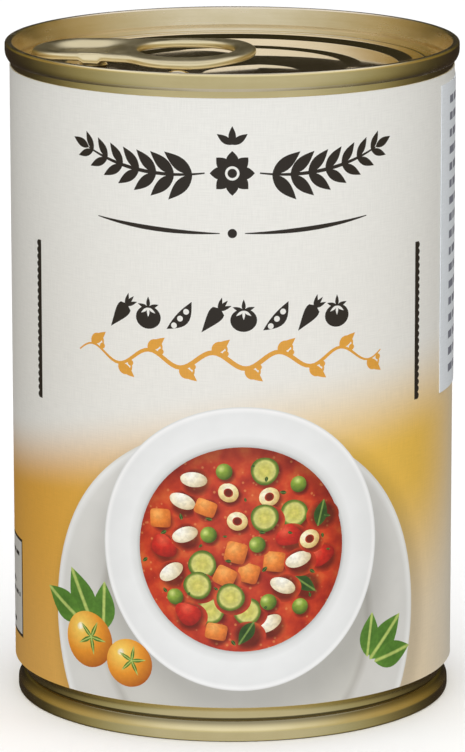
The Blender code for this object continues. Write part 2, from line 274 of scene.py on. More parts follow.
SPRIG_LEAVES = (
    ((-24.5, 17.5), 10.5, 118), ((-27.0, 18.0), 9.5, 152), ((-22.5, 17.0), 8.5, 88),
    ((24.0, 12.0), 9.5, 44), ((25.0, 11.5), 8.5, 8), ((23.5, 12.5), 7.5, 82),
)
LEFT_PANEL = (-83.5, 10.7, 27.6, 37.2, 8)
BACK_PANEL = (-113.0, 46.0, 92.0, 28.0, 15)
PANEL_FRAME = 0.5
PANEL_MARGIN = 1.6
PANEL_BAR_SHARE = 0.42
BAR_LENGTHS = (1.4, 4.2)
BAR_GAP = 0.7
BACK_BRANCHES = (-70.0, 103.5)

# Ground of the label: screen colours, and ranges of u, of v or of the height over the glow's line
CREAM = ((0.0, (238, 236, 230)), (1.0, (240, 239, 234)))
CREAM_V = (62.0, 104.0)
GOLD = ((0.0, (226, 168, 66)), (1.0, (238, 192, 82)))
GOLD_U = (-44.0, 20.0)
GLOW_SLOPE = 0.12
GLOW_HEIGHT = 42.5
GLOW_REACH = (-48.0, 10.0, 12.5, 18.0)
GLOW_FOOT = (-32.0, -4.0)
GLOW_FOOT_SHARE = (-30.0, 10.0, 0.95, 0.42)
GLOW_SIDES = ((-92.0, -56.0, 0.0, 1.0), (34.0, 60.0, 1.0, 0.35), (56.0, 100.0, 1.0, 0.0))
WEAVE_STRETCHES = ((7.0, 0.35, 0.0), (0.35, 7.0, 0.0))
WEAVE_SHADES = (0.3, 0.7, 0.955, 1.03)

# Printed shadows: centre, radii where the dark starts and ends, and its depth
CHARGER_SHADOW = ((2.0, 18.0), CHARGER_RADIUS * 0.97, CHARGER_RADIUS + 4.0, 0.72)
PLATE_SHADOW = ((2.7, 30.0), PLATE_RADIUS * 0.93, PLATE_RADIUS + 5.5, 0.76)
SOUP_EDGE_SHADE = ((0.9, 30.8), SOUP_RADIUS * 1.09, SOUP_RADIUS * 0.86, 0.55)
PIECE_SHADE = (0.55, 1.0, 0.32, 1.0)

# Inks: screen colours, or stops of them by the distance from the light in the shape's own frame
PAPER_IOR = 1.45
MIDDLE = (0.0, 0.0)
UP_LEFT = (-0.32, 0.38)
IN_LEAF = (0.5, 0.0)
STICKER_INKS = {"white": (244, 249, 255), "grey": (138, 140, 154)}
PLAIN_INKS = {"brown": (45, 37, 30), "orange": (232, 166, 62), "panel": (214, 212, 206)}
SOUP_STOPS = ((0.3, (168, 34, 16)), (0.52, (206, 62, 26)), (0.72, (226, 104, 46)))
SOUP_CLOUDS = (0.28, 0.28, 0.28)
SOUP_DROP = (238, 150, 84)
SOUP_DROP_FADE = (0.1, 0.22, 0.55, 0.0)
VEIN_FADE = (0.012, 0.05, 1.0, 0.0)
INK_RANGE = (0.35, 0.65)
THREAD_SHADE = 0.9

# Shaded inks: stops, light, vein, unevenness, grain and shadow
PLATE_INKS = {
    "charger": ((
        (0.0, (206, 204, 198)), (0.66, (206, 204, 197)), (0.69, (190, 187, 180)), (0.73, (214, 212, 207)),
        (0.95, (224, 223, 219)), (0.985, (243, 243, 241)), (1.0, (226, 224, 218)),
    ), MIDDLE, None, 0.015, 0.2, PLATE_SHADOW),
    "plate": ((
        (0.0, (214, 214, 211)), (0.68, (208, 208, 206)), (0.715, (186, 186, 184)), (0.745, (226, 227, 226)),
        (0.8, (241, 242, 242)), (0.955, (236, 237, 237)), (0.985, (251, 251, 251)), (1.0, (220, 220, 219)),
    ), MIDDLE, None, 0.012, 0.2),
}
FOOD_INKS = {
    "carrot": (((0.0, (250, 176, 92)), (0.8, (236, 134, 48)), (1.6, (192, 84, 24))), UP_LEFT),
    "courgette": ((
        (0.0, (226, 214, 112)), (0.3, (206, 200, 96)), (0.72, (214, 210, 122)), (0.84, (120, 142, 48)),
        (1.0, (78, 104, 32)),
    ),),
    "bean": (((0.0, (255, 253, 244)), (0.7, (244, 234, 206)), (1.5, (204, 176, 126))), UP_LEFT),
    "pasta": (((0.0, (255, 250, 224)), (0.8, (246, 226, 162)), (1.5, (206, 160, 84))), UP_LEFT),
    "pea": (((0.0, (214, 226, 130)), (0.5, (142, 170, 58)), (1.4, (72, 98, 24))), UP_LEFT),
    "tomato": (((0.0, (236, 92, 62)), (0.6, (208, 38, 20)), (1.5, (142, 16, 8))), UP_LEFT),
    "basil": (((0.0, (40, 70, 24)), (0.5, (62, 100, 34)), (1.0, (30, 58, 18))), IN_LEAF, (120, 150, 70)),
    "leaf": (((0.0, (74, 118, 40)), (0.5, (98, 146, 52)), (1.0, (52, 94, 30))), IN_LEAF, (186, 204, 110)),
    "gold_tomato": ((
        (0.0, (255, 236, 160)), (0.22, (252, 206, 92)), (0.85, (234, 150, 40)), (1.45, (176, 92, 20)),
    ), UP_LEFT, None, 0.03),
    "shine": (((0.0, (255, 252, 240)), (0.55, (255, 240, 196)), (1.0, (252, 214, 118))),),
}

# Mirrored light by how far forward it comes from (0 behind, 1 in front), as linear colours
LOW_ROOM = (
    (0.115, (0.030, 0.023, 0.020)), (0.25, (0.055, 0.048, 0.029)), (0.415, (0.145, 0.127, 0.076)),
    (0.585, (0.28, 0.265, 0.173)), (0.75, (0.38, 0.386, 0.327)), (0.885, (0.51, 0.51, 0.49)),
)
MIDDLE_ROOM = (
    (0.0, (0.030, 0.025, 0.012)), (0.02, (0.04, 0.035, 0.016)), (0.06, (0.131, 0.106, 0.029)),
    (0.234, (0.26, 0.186, 0.058)), (0.5, (0.415, 0.327, 0.159)), (0.766, (0.503, 0.46, 0.32)),
    (0.957, (0.64, 0.64, 0.57)),
)
UPPER_ROOM = (0.88, 0.90, 1.0)
OVERHEAD = (0.55, 0.56, 0.58)

# Heights of a direction between which one band of that light turns into the next
LOW_TO_MIDDLE = (-0.12, 0.3)
MIDDLE_TO_UPPER = (0.62, 0.85)
UPPER_TO_OVERHEAD = (0.86, 0.99)
FRONT_LIFT = 0.2

# Even light for matt surfaces, by the same measure
MATT_ROOM = (
    (0.0, (1.1, 1.1, 1.1)), (0.25, (0.01, 0.01, 0.01)), (0.42, (0.11, 0.105, 0.095)),
    (0.55, (1.03, 1.0, 0.92)), (0.7, (0.39, 0.38, 0.36)), (0.85, (0.14, 0.14, 0.14)), (1.0, (2.0, 2.0, 2.0)),
)
MATT_CEILING = (1.6, 1.6, 1.6)
MATT_TO_CEILING = (0.5, 0.9)

# Key light and floor, in metres
KEY_PLACE = Vector((0.0, -1.15, 1.35))
KEY_AIM = Vector((0.0, 0.0, 0.06))
KEY_SIZE = (1.5, 0.6)
KEY_RADIANCE = 1.5
FLOOR_HALF_SIZE = 6.0
FLOOR_COLOUR = (0.98, 0.98, 0.98, 1.0)


def mix(start, end, share):
    return start + (end - start) * share


def shares(steps):
    """0 to 1 in even steps, both ends included."""
    return [i / steps for i in range(steps + 1)]


def round_angles(count):
    return [2 * math.pi * i / count for i in range(count)]


def ease(t):
    """0 to 1 with a soft start and end."""
    t = min(max(t, 0.0), 1.0)
    return t * t * (3 - 2 * t)


def rise(value, start, end):
    """0 at the start of a range and 1 at its end, eased."""
    return ease((value - start) / (end - start))


def arc(centre_r, centre_z, radius, start_degrees, end_degrees, steps):
    """Points (r, z) along an arc, both ends included. 0 degrees points outward and 90 up."""
    angles = [math.radians(mix(start_degrees, end_degrees, t)) for t in shares(steps)]
    return [(centre_r + radius * math.cos(a), centre_z + radius * math.sin(a)) for a in angles]


def new_object(name, data):
    made = bpy.data.objects.new(name, data)
    bpy.context.scene.collection.objects.link(made)
    return made


def new_mesh(name, vertices, faces):
    mesh = bpy.data.meshes.new(name)
    mesh.from_pydata(vertices, [], faces)
    return mesh


def add_piece(mesh, node, materials):
    """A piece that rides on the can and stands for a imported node."""
    piece = new_object(mesh.name, mesh)
    for material in materials:
        mesh.materials.append(material)
    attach(piece, "root")
    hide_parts(node)


def add_metal(mesh, node, metals, sharp_degrees=50):
    """A metal piece, scaled to metres and smooth but for edges sharper than an angle."""
    mesh.transform(Matrix.Scale(MM, 4))
    mesh.shade_smooth()
    mesh.set_sharp_from_angle(angle=math.radians(sharp_degrees))
    add_piece(mesh, node, metals)


def turned_mesh(name, profile, segments=TURN_SEGMENTS):
    """A closed solid of revolution from (r, z) points that run from the axis back to the axis."""
    vertices = []
    rings = []
    for r, z in profile:
        angles = round_angles(segments) if r else [0.0]
        first = len(vertices)
        rings.append([first + i % len(angles) for i in range(segments)])
        vertices += [(r * math.cos(a), r * math.sin(a), z) for a in angles]
    faces = []
    for upper, lower in zip(rings, rings[1:]):
        for i in range(segments):
            j = (i + 1) % segments
            corners = (upper[i], lower[i], lower[j], upper[j])
            faces.append([c for k, c in enumerate(corners) if c not in corners[:k]])
    return new_mesh(name, vertices, faces)


def radius_of(polygon):
    return math.hypot(polygon.center.x, polygon.center.y)


# Node helpers

def new_material(name):
    """A material and its Principled shader."""
    material = bpy.data.materials.new(name)
    material.use_nodes = True
    return material, material.node_tree.nodes["Principled BSDF"]


def new_paper(name, roughness=0.5):
    """A paper material, its node tree and the socket of its colour."""
    material, shader = new_material(name)
    shader.inputs["Roughness"].default_value = roughness
    shader.inputs["IOR"].default_value = PAPER_IOR
    return material, material.node_tree, shader.inputs["Base Color"]


def add_node(tree, kind, inputs=None, **settings):
    """A node whose inputs are set to values or linked to sockets."""
    made = tree.nodes.new(kind)
    for key, value in settings.items():
        setattr(made, key, value)
    for key, value in (inputs or {}).items():
        if isinstance(value, bpy.types.NodeSocket):
            tree.links.new(value, made.inputs[key])
        else:
            made.inputs[key].default_value = value
    return made


def maths(tree, operation, first, second):
    return add_node(tree, "ShaderNodeMath", {0: first, 1: second}, operation=operation).outputs[0]


def vector_maths(tree, operation, first, second=(0.0, 0.0, 0.0)):
    return add_node(tree, "ShaderNodeVectorMath", {0: first, 1: second}, operation=operation)


def product(tree, first, *others):
    """All the values multiplied together."""
    for value in others:
        first = maths(tree, "MULTIPLY", first, value)
    return first


def split(tree, place):
    """The X, Y and Z sockets of a place or direction."""
    return add_node(tree, "ShaderNodeSeparateXYZ", {"Vector": place}).outputs


def between(tree, value, low, high, to_low=0.0, to_high=1.0):
    """The value eased from one range to another."""
    inputs = {"Value": value, "From Min": low, "From Max": high, "To Min": to_low, "To Max": to_high}
    return add_node(tree, "ShaderNodeMapRange", inputs, interpolation_type="SMOOTHSTEP").outputs["Result"]


def colour_mix(tree, share, first, second, blend="MIX"):
    """Two colours mixed; each is a socket or a linear colour."""
    first, second = ((*value, 1.0) if isinstance(value, tuple) else value for value in (first, second))
    inputs = {0: share, 6: first, 7: second}
    return add_node(tree, "ShaderNodeMix", inputs, data_type="RGBA", blend_type=blend).outputs[2]


def shaded(tree, colour, factor):
    """The colour multiplied by a factor."""
    return colour_mix(tree, 1.0, colour, factor, "MULTIPLY")


def ramp(tree, share, stops):
    """A colour ramp from (position, linear colour) stops."""
    made = add_node(tree, "ShaderNodeValToRGB", {"Fac": share})
    elements = made.color_ramp.elements
    while len(elements) < len(stops):
        elements.new(0.5)
    for element, (position, colour) in zip(elements, stops):
        element.position = position
        element.color = (*colour, 1.0)
    return made.outputs["Color"]


def from_screen(screen):
    """A linear colour from 0-255 screen values."""
    shares = [value / 255 for value in screen]
    return tuple(s / 12.92 if s <= 0.04045 else ((s + 0.055) / 1.055) ** 2.4 for s in shares)


def screen_ramp(tree, share, stops):
    """A colour ramp from (position, screen colour) stops."""
    return ramp(tree, share, [(at, from_screen(screen)) for at, screen in stops])


def noise(tree, place, stretch, detail=2.0):
    """Noise that is finer along the axes that are stretched more."""
    scaled = vector_maths(tree, "MULTIPLY", place, stretch).outputs[0]
    inputs = {"Vector": scaled, "Scale": 1.0, "Detail": detail}
    return add_node(tree, "ShaderNodeTexNoise", inputs).outputs["Fac"]


def uv(tree, name):
    """Sheet gives millimetres over the whole sheet, and Shape the printed shape's own frame."""
    return add_node(tree, "ShaderNodeUVMap", uv_map=name).outputs["UV"]


def distance(tree, place, centre):
    return vector_maths(tree, "DISTANCE", place, (*centre, 0.0)).outputs["Value"]


# Metals and inks

def gold_metal(name, colour, roughness, grain, bump_strength=0.05, painted_groove_shade=None):
    """Gold-lacquered tinplate with a faint grain and uneven gloss, and where asked, painted shade that
    darkens it over a range of heights.
    """
    material, shader = new_material(name)
    tree = material.node_tree
    place = add_node(tree, "ShaderNodeTexCoord").outputs["Object"]
    streaks = noise(tree, place, grain)
    uneven = product(tree, maths(tree, "ADD", noise(tree, place, MOTTLE_STRETCH, 3.0), streaks), 0.5)
    paler = tuple(min(1.0, c * PALER_LACQUER) for c in colour)
    deeper = tuple(c * d for c, d in zip(colour, DEEPER_LACQUER))
    lacquer = ramp(tree, uneven, list(zip(UNEVEN_RANGE, (deeper, paler))))
    if painted_groove_shade:
        # painted shade: the lacquer darkens with height, standing in for the shadow in the seam's groove
        lacquer = shaded(tree, lacquer, between(tree, split(tree, place)["Z"], *painted_groove_shade))
    gloss = between(tree, uneven, *UNEVEN_RANGE, *(roughness * share for share in GLOSS_SHARES))
    inputs = {"Height": streaks, "Strength": bump_strength, "Distance": GRAIN_HEIGHT}
    bump = add_node(tree, "ShaderNodeBump", inputs).outputs["Normal"]
    shader.inputs["Metallic"].default_value = 1.0
    for name, socket in (("Base Color", lacquer), ("Roughness", gloss), ("Normal", bump)):
        tree.links.new(socket, shader.inputs[name])
    return material


def weave(tree):
    """The label's printed linen: fine threads both ways, about 0.5."""
    place = uv(tree, "Sheet")
    across, along = (noise(tree, place, stretch, 1.0) for stretch in WEAVE_STRETCHES)
    return product(tree, maths(tree, "ADD", across, along), 0.5)


def darkened_round(tree, colour, centre, near, far, depth):
    """The colour darkened softly about a place on the sheet, like a printed shadow."""
    away = distance(tree, uv(tree, "Sheet"), centre)
    return shaded(tree, colour, between(tree, away, near, far, depth, 1.0))


def label_ground():
    """Cream linen-printed paper with a golden glow."""
    material, tree, base = new_paper("label_ground")
    place = split(tree, uv(tree, "Sheet"))
    u, v = place["X"], place["Y"]
    cream = screen_ramp(tree, between(tree, v, *CREAM_V), CREAM)
    golden = screen_ramp(tree, between(tree, u, *GOLD_U), GOLD)
    line = maths(tree, "ADD", product(tree, u, GLOW_SLOPE), GLOW_HEIGHT)
    over = maths(tree, "SUBTRACT", v, line)
    above = between(tree, over, between(tree, u, *GLOW_REACH), 0.0)
    below = between(tree, over, *GLOW_FOOT, between(tree, u, *GLOW_FOOT_SHARE), 1.0)
    sides = [between(tree, u, *fade) for fade in GLOW_SIDES]
    ground = colour_mix(tree, product(tree, above, below, *sides), cream, golden)
    ground = darkened_round(tree, ground, *CHARGER_SHADOW)
    tree.links.new(shaded(tree, ground, between(tree, weave(tree), *WEAVE_SHADES)), base)
    return material


def plain_ink(name, screen):
    """One printed colour with the paper's faint unevenness."""
    material, tree, base = new_paper(name)
    colour = from_screen(screen)
    darker = tuple(c * THREAD_SHADE for c in colour)
    tree.links.new(ramp(tree, weave(tree), list(zip(INK_RANGE, (darker, colour)))), base)
    return material


def shaded_ink(name, stops, light=MIDDLE, vein=None, uneven=0.1, grain=1.3, shadow=None):
    """Ink whose colour follows the distance from a light point, a little uneven."""
    material, tree, base = new_paper(name)
    place = uv(tree, "Shape")
    reach = stops[-1][0]
    share = maths(tree, "DIVIDE", distance(tree, place, light), reach)
    colour = screen_ramp(tree, share, [(at / reach, screen) for at, screen in stops])
    if vein:
        across = maths(tree, "ABSOLUTE", split(tree, place)["Y"], 0.0)
        colour = colour_mix(tree, between(tree, across, *VEIN_FADE), colour, from_screen(vein))
    if shadow:
        colour = darkened_round(tree, colour, *shadow)
    mottle = noise(tree, uv(tree, "Sheet"), (grain, grain, grain))
    tree.links.new(shaded(tree, colour, between(tree, mottle, *INK_RANGE, 1 - uneven, 1 + uneven)), base)
    return material


def soup_ink(name):
    """Tomato broth with small drops of fat, and shadows round the pieces in it."""
    material, tree, base = new_paper(name, 0.42)
    place = uv(tree, "Sheet")
    colour = screen_ramp(tree, noise(tree, place, SOUP_CLOUDS, 3.0), SOUP_STOPS)
    cells = add_node(tree, "ShaderNodeTexVoronoi", {"Vector": place, "Scale": 0.75}).outputs["Distance"]
    colour = colour_mix(tree, between(tree, cells, *SOUP_DROP_FADE), colour, from_screen(SOUP_DROP))
    colour = darkened_round(tree, colour, *SOUP_EDGE_SHADE)
    if name == "soup_shadow_ink":
        away = distance(tree, uv(tree, "Shape"), MIDDLE)
        colour = shaded(tree, colour, between(tree, away, *PIECE_SHADE))
    tree.links.new(colour, base)
    return material


def label_inks():
    """The label's materials by name, the ground first."""
    inks = {"ground": label_ground()}
    inks |= {name: plain_ink(f"{name}_ink", screen) for name, screen in PLAIN_INKS.items()}
    inks |= {name: shaded_ink(f"{name}_ink", *settings) for name, settings in PLATE_INKS.items()}
    inks |= {name: soup_ink(f"{name}_ink") for name in ("soup", "soup_shadow")}
    inks |= {name: shaded_ink(f"{name}_ink", *settings) for name, settings in FOOD_INKS.items()}
    return inks


# Metal pieces

def make_can_body(metal):
    """The tin wall, with its bare band at the top and the necked shoulder at the bottom."""
    top = CAN_TOP - TOP_SEAM_HEIGHT - SEAM_CLEARANCE
    foot = BOTTOM_SEAM_HEIGHT + SEAM_CLEARANCE
    recess = CAN_TOP - END_UNDERSIDE_DEPTH - SEAM_CLEARANCE
    seat = NECK_RADIUS + BODY_WALL
    profile = [(0.0, recess), (seat, recess), (seat, top), (BODY_RADIUS, top)]
    for t in shares(SHOULDER_STEPS):
        profile.append((mix(BODY_RADIUS, NECK_RADIUS, ease(t)), mix(SHOULDER_TOP, SHOULDER_FOOT, t)))
    profile += [(NECK_RADIUS, foot), (0.0, foot)]
    mesh = turned_mesh("tin_wall", profile)
    add_metal(mesh, "can_body", [metal])


def slope_share(r, outer, inner):
    """0 at the outer radius of a slope and 1 at its inner radius."""
    return min(max((outer - r) / (outer - inner), 0.0), 1.0)


def panel_height(r):
    """Height of the panel at a radius: two steps, a sloping terrace between them, and the score line."""
    outer = slope_share(r, OUTER_STEP[1], OUTER_STEP[0])
    terrace = slope_share(r, OUTER_STEP[0], INNER_STEP[1])
    inner = slope_share(r, INNER_STEP[1], INNER_STEP[0])
    score = max(0.0, 1 - abs(r - SCORE_RADIUS) / SCORE_HALF_WIDTH)
    drop = OUTER_STEP_DROP * outer + TERRACE_DROP * terrace + INNER_STEP_DROP * inner + SCORE_DEPTH * score
    return CAN_TOP - PANEL_DEPTH - drop


def panel_profile():
    """Points (r, z) from the axis over the panel to its rounded edge."""
    flat_edge = PANEL_EDGE_RADIUS - PANEL_EDGE_ROUND
    count = round(flat_edge / PANEL_RING_STEP)
    radii = [flat_edge * i / count for i in range(count + 1)]
    radii = [r for r in radii if abs(r - SCORE_RADIUS) > SCORE_HALF_WIDTH * 1.3]
    radii += [SCORE_RADIUS + k * SCORE_HALF_WIDTH / 2 for k in range(-2, 3)]
    points = [(r, panel_height(r)) for r in sorted(radii)]
    return points + arc(flat_edge, CAN_TOP - PANEL_DEPTH - PANEL_EDGE_ROUND, PANEL_EDGE_ROUND, 80, 10, 6)


def spot(x, y, place, half_size):
    """1 in the middle of an elliptic spot, falling to 0 at its edge."""
    return max(0.0, 1 - ((x - place[0]) / half_size[0]) ** 2 - ((y - place[1]) / half_size[1]) ** 2)


def panel_relief(x, y):
    """Height that the well, dish, swelling and stop bead add to the panel."""
    height = SWELL_RISE * spot(x, y, SWELL_PLACE, SWELL_HALF_SIZE)
    height -= WELL_DROP * spot(x, y, WELL_PLACE, WELL_HALF_SIZE)
    height -= DISH_DROP * spot(x, y, DISH_PLACE, DISH_HALF_SIZE)
    return height + STOP_BEAD_RISE * spot(x, y, STOP_BEAD_PLACE, STOP_BEAD_HALF_SIZE) ** STOP_BEAD_FULLNESS


def make_top_end(panel_metal, wall_metal, seam_metal):
    """The easy-open end: stepped panel, countersink, chuck wall and double seam."""
    profile = panel_profile()
    lean = math.radians(CHUCK_WALL_LEAN_DEGREES)
    foot = arc(CHUCK_WALL_BEND[0] - WALL_FOOT_ROUND * math.cos(lean),
               CAN_TOP - CHUCK_WALL_BEND[1] + WALL_FOOT_ROUND * math.sin(lean),
               WALL_FOOT_ROUND, -WALL_FOOT_LEAN_DEGREES, -CHUCK_WALL_LEAN_DEGREES, 6)
    profile += arc(foot[0][0] - COUNTERSINK_ROUND, CAN_TOP - COUNTERSINK_DEPTH + COUNTERSINK_ROUND,
                   COUNTERSINK_ROUND, 180, 350, 12)
    profile += foot
    inside = SEAM_RADIUS - SEAM_THICKNESS
    profile += arc(inside + SEAM_INNER_ROUND, CAN_TOP - SEAM_INNER_ROUND, SEAM_INNER_ROUND,
                   180 - CHUCK_WALL_LEAN_DEGREES, 90, 8)
    profile += arc(SEAM_RADIUS - SEAM_OUTER_ROUND, CAN_TOP - SEAM_OUTER_ROUND, SEAM_OUTER_ROUND, 90, 0, 8)
    lean_degrees = math.degrees(math.asin(TOP_SEAM_LEAN / TOP_SEAM_LEAN_ROUND))
    profile += arc(SEAM_RADIUS - TOP_SEAM_LEAN_ROUND, CAN_TOP - TOP_SEAM_HEIGHT + TOP_SEAM_LEAN,
                   TOP_SEAM_LEAN_ROUND, 0, -lean_degrees, 8)
    under = NECK_RADIUS + BODY_WALL - SEAM_CLEARANCE
    profile += [
        (BODY_RADIUS, CAN_TOP - TOP_SEAM_HEIGHT),
        (under, CAN_TOP - TOP_SEAM_HEIGHT),
        (under, CAN_TOP - END_UNDERSIDE_DEPTH),
        (0.0, CAN_TOP - END_UNDERSIDE_DEPTH),
    ]
    mesh = turned_mesh("lid", profile[::-1])
    lowest = CAN_TOP - PANEL_DEPTH - 2 * OUTER_STEP_DROP
    for vertex in mesh.vertices:
        x, y, z = vertex.co
        if z > lowest and math.hypot(x, y) < INNER_STEP[1]:
            vertex.co.z += panel_relief(x, y)
    for polygon in mesh.polygons:
        radius = radius_of(polygon)
        polygon.material_index = (radius > PANEL_EDGE_RADIUS) + (radius > SEAM_RADIUS - CREST_EDGE)
    add_metal(mesh, "top_end", [panel_metal, wall_metal, seam_metal])


def make_rivet(metal):
    """The rivet: a boss drawn out of the panel, a shank and a flat head."""
    tab_foot = tab_middle(0.0, 0.0) - TAB_HALF_THICKNESS[0] - RIVET_CLEARANCE
    head_top = tab_middle(0.0, 0.0) - BASIN_FLOOR_DROP + RIVET_HEAD_RISE
    root = panel_height(math.hypot(*RIVET_PLACE)) - RIVET_CLEARANCE
    rim = RIVET_HEAD_THICKNESS / 2
    profile = [(0.0, head_top - RIVET_HEAD_DIP), (RIVET_HEAD_RADIUS * 0.6, head_top - 0.6 * RIVET_HEAD_DIP)]
    profile += arc(RIVET_HEAD_RADIUS - rim, head_top - rim, rim, 90, -90, 8)
    profile += [
        (RIVET_SHANK_RADIUS, head_top - RIVET_HEAD_THICKNESS),
        (RIVET_SHANK_RADIUS, tab_foot),
        (RIVET_BOSS_RADIUS, tab_foot),
    ]
    boss_foot = RIVET_BOSS_RADIUS + RIVET_BOSS_LEAN * (tab_foot + RIVET_CLEARANCE - root)
    profile += arc(boss_foot + RIVET_FOOT_ROUND, root + RIVET_FOOT_ROUND, RIVET_FOOT_ROUND, 180, 270, 8)
    profile.append((0.0, root))
    mesh = turned_mesh("rivet", profile, RIVET_SEGMENTS)
    mesh.transform(Matrix.Translation((*RIVET_PLACE, 0.0)))
    add_metal(mesh, "top_end", [metal])


def make_bottom_end(seam_metal, panel_metal):
    """The plain lower end with its double seam, foot ring, countersink and two rings of beads."""
    foot_outside = BOTTOM_SEAM_RADIUS - FOOT_ROUND
    bend = arc(BOTTOM_SEAM_RADIUS - BOTTOM_SEAM_BEND_ROUND, BOTTOM_SEAM_STRAIGHT,
               BOTTOM_SEAM_BEND_ROUND, BOTTOM_SEAM_LEAN_DEGREES, 0, 6)
    lean = math.radians(BOTTOM_SEAM_LEAN_DEGREES)
    slope_radius = bend[0][0] - (BOTTOM_SEAM_SLOPE_TOP - bend[0][1]) * math.tan(lean)
    profile = [(0.0, BOTTOM_SEAM_HEIGHT), (NECK_RADIUS, BOTTOM_SEAM_HEIGHT)]
    profile += arc(slope_radius - BOTTOM_SEAM_TOP_ROUND * math.cos(lean),
                   BOTTOM_SEAM_SLOPE_TOP - BOTTOM_SEAM_TOP_ROUND * math.sin(lean),
                   BOTTOM_SEAM_TOP_ROUND, BOTTOM_SEAM_TOP_DEGREES, BOTTOM_SEAM_LEAN_DEGREES, 8)
    profile += bend
    profile += arc(foot_outside, FOOT_ROUND, FOOT_ROUND, 0, -90, 8)
    profile += arc(foot_outside - FOOT_FLAT, FOOT_ROUND, FOOT_ROUND, -90, -180, 8)
    profile += arc(BOTTOM_WALL_RADIUS - BOTTOM_COUNTERSINK_ROUND,
                   BOTTOM_COUNTERSINK - BOTTOM_COUNTERSINK_ROUND, BOTTOM_COUNTERSINK_ROUND, 5, 175, 10)
    for t in shares(BOTTOM_PANEL_RINGS):
        radius = BOTTOM_PANEL_RADIUS * (1 - t)
        rises = [ease(1 - abs(radius - bead) / BOTTOM_BEAD_HALF_WIDTH) for bead in BOTTOM_BEADS]
        profile.append((radius, BOTTOM_PANEL + BOTTOM_BEAD_RISE * sum(rises)))
    mesh = turned_mesh("base", profile)
    for polygon in mesh.polygons:
        # the outside of the lower seam gets the metal with painted shade, the panel inside gets the plain
        # metal
        polygon.material_index = int(radius_of(polygon) < BOTTOM_WALL_RADIUS + SEAM_CLEARANCE)
    add_metal(mesh, "bottom_end", [seam_metal, panel_metal])


# Ring pull

def tab_half_width(x):
    """Half the width of the ring pull at x: nose, waist and ring blended into one."""
    total = 0.0
    for centre, length, half_width in ((NOSE_CENTRE, NOSE_LENGTH, NOSE_HALF_WIDTH),
                                       (RING_CENTRE, RING_RADIUS, RING_RADIUS)):
        round_share = 1 - ((x - centre) / length) ** 2
        if round_share > 0:
            total += (half_width * math.sqrt(round_share)) ** OUTLINE_BLEND
    if NOSE_CENTRE < x < RING_CENTRE:
        share = (x - NOSE_CENTRE) / (RING_CENTRE - NOSE_CENTRE)
        total += WAIST_HALF_WIDTH ** OUTLINE_BLEND * math.sin(math.pi * share) ** 2
    return total ** (1 / OUTLINE_BLEND)


def tab_outline():
    upper = []
    for t in shares(TAB_OUTLINE_POINTS):
        x = mix(TAB_ENDS[0], TAB_ENDS[1], (1 - math.cos(math.pi * t)) / 2)
        upper.append(Vector((x, tab_half_width(x))))
    lower = [Vector((p.x, -p.y)) for p in upper]
    return lower + upper[-2:0:-1]


def oval(centre_x, half_length, half_width, count):
    angles = round_angles(count)
    return [Vector((centre_x + half_length * math.cos(a), half_width * math.sin(a))) for a in angles]


def offset_loop(loop, distance):
    """The loop moved to its left by a distance, point by point."""
    made = []
    for i, point in enumerate(loop):
        along = (loop[(i + 1) % len(loop)] - loop[i - 1]).normalized()
        made.append(point + Vector((-along.y, along.x)) * distance)
    return made


def distance_tree(loop):
    """Finds how far a flat point is from a loop."""
    dense = []
    for start, end in zip(loop, loop[1:] + loop[:1]):
        pieces = max(1, round((end - start).length / TAB_MEASURE_STEP))
        dense += [start.lerp(end, k / pieces) for k in range(pieces)]
    tree = KDTree(len(dense))
    for i, point in enumerate(dense):
        tree.insert(point.to_3d(), i)
    tree.balance()
    return tree


def tab_middle(x, y):
    """Height of the ring pull's middle surface: the nose, the ring's end and one side lie higher."""
    nose = NOSE_LIFT * ease(1 - abs(x - NOSE_CENTRE) / NOSE_LIFT_REACH)
    end = RING_END_LIFT * ease((x - RING_CENTRE) / RING_RADIUS)
    dome = TAB_DOME * max(0.0, abs(y) - TAB_DOME_START) ** 2
    return CAN_TOP - RING_MIDDLE_DEPTH + nose + end + TAB_SIDE_TILT * y - dome


def tab_heights(x, y, edge, hole_edge):
    """Heights of the ring pull's upper and lower side: rolled edges, basin and belly."""
    thin, thick = TAB_HALF_THICKNESS
    share = rise(x, NOSE_CENTRE, RING_CENTRE)
    half = mix(thin, thick, share)
    inside = min(edge / TAB_OUTER_ROLL_WIDTH, hole_edge / TAB_HOLE_ROLL_WIDTH, 1.0)
    roll = half * (1 - (1 - inside) ** ROLL_SQUARENESS) ** (1 / ROLL_SQUARENESS)
    fade = max(0.0, 1 - BASIN_FADE * (x - NOSE_CENTRE) ** 2)
    basin = (half + BASIN_FLOOR_DROP) * rise(edge, *BASIN_EDGE) * rise(x, *BASIN_END) * fade
    belly = BELLY_DROP * ease(edge / TAB_OUTER_ROLL_WIDTH - 1) * rise(x, BELLY_END, 0.0)
    under = mix(mix(*TAB_UNDER_SHARE, share), 1, edge / (edge + hole_edge))
    middle = tab_middle(x, y)
    if y < 0:
        middle -= LUG_DROP * ease(3 - 3 * abs(x) / LUG_REACH) * ease(1 - edge / LUG_DEPTH)
    return middle + roll - basin, middle - roll * under - belly


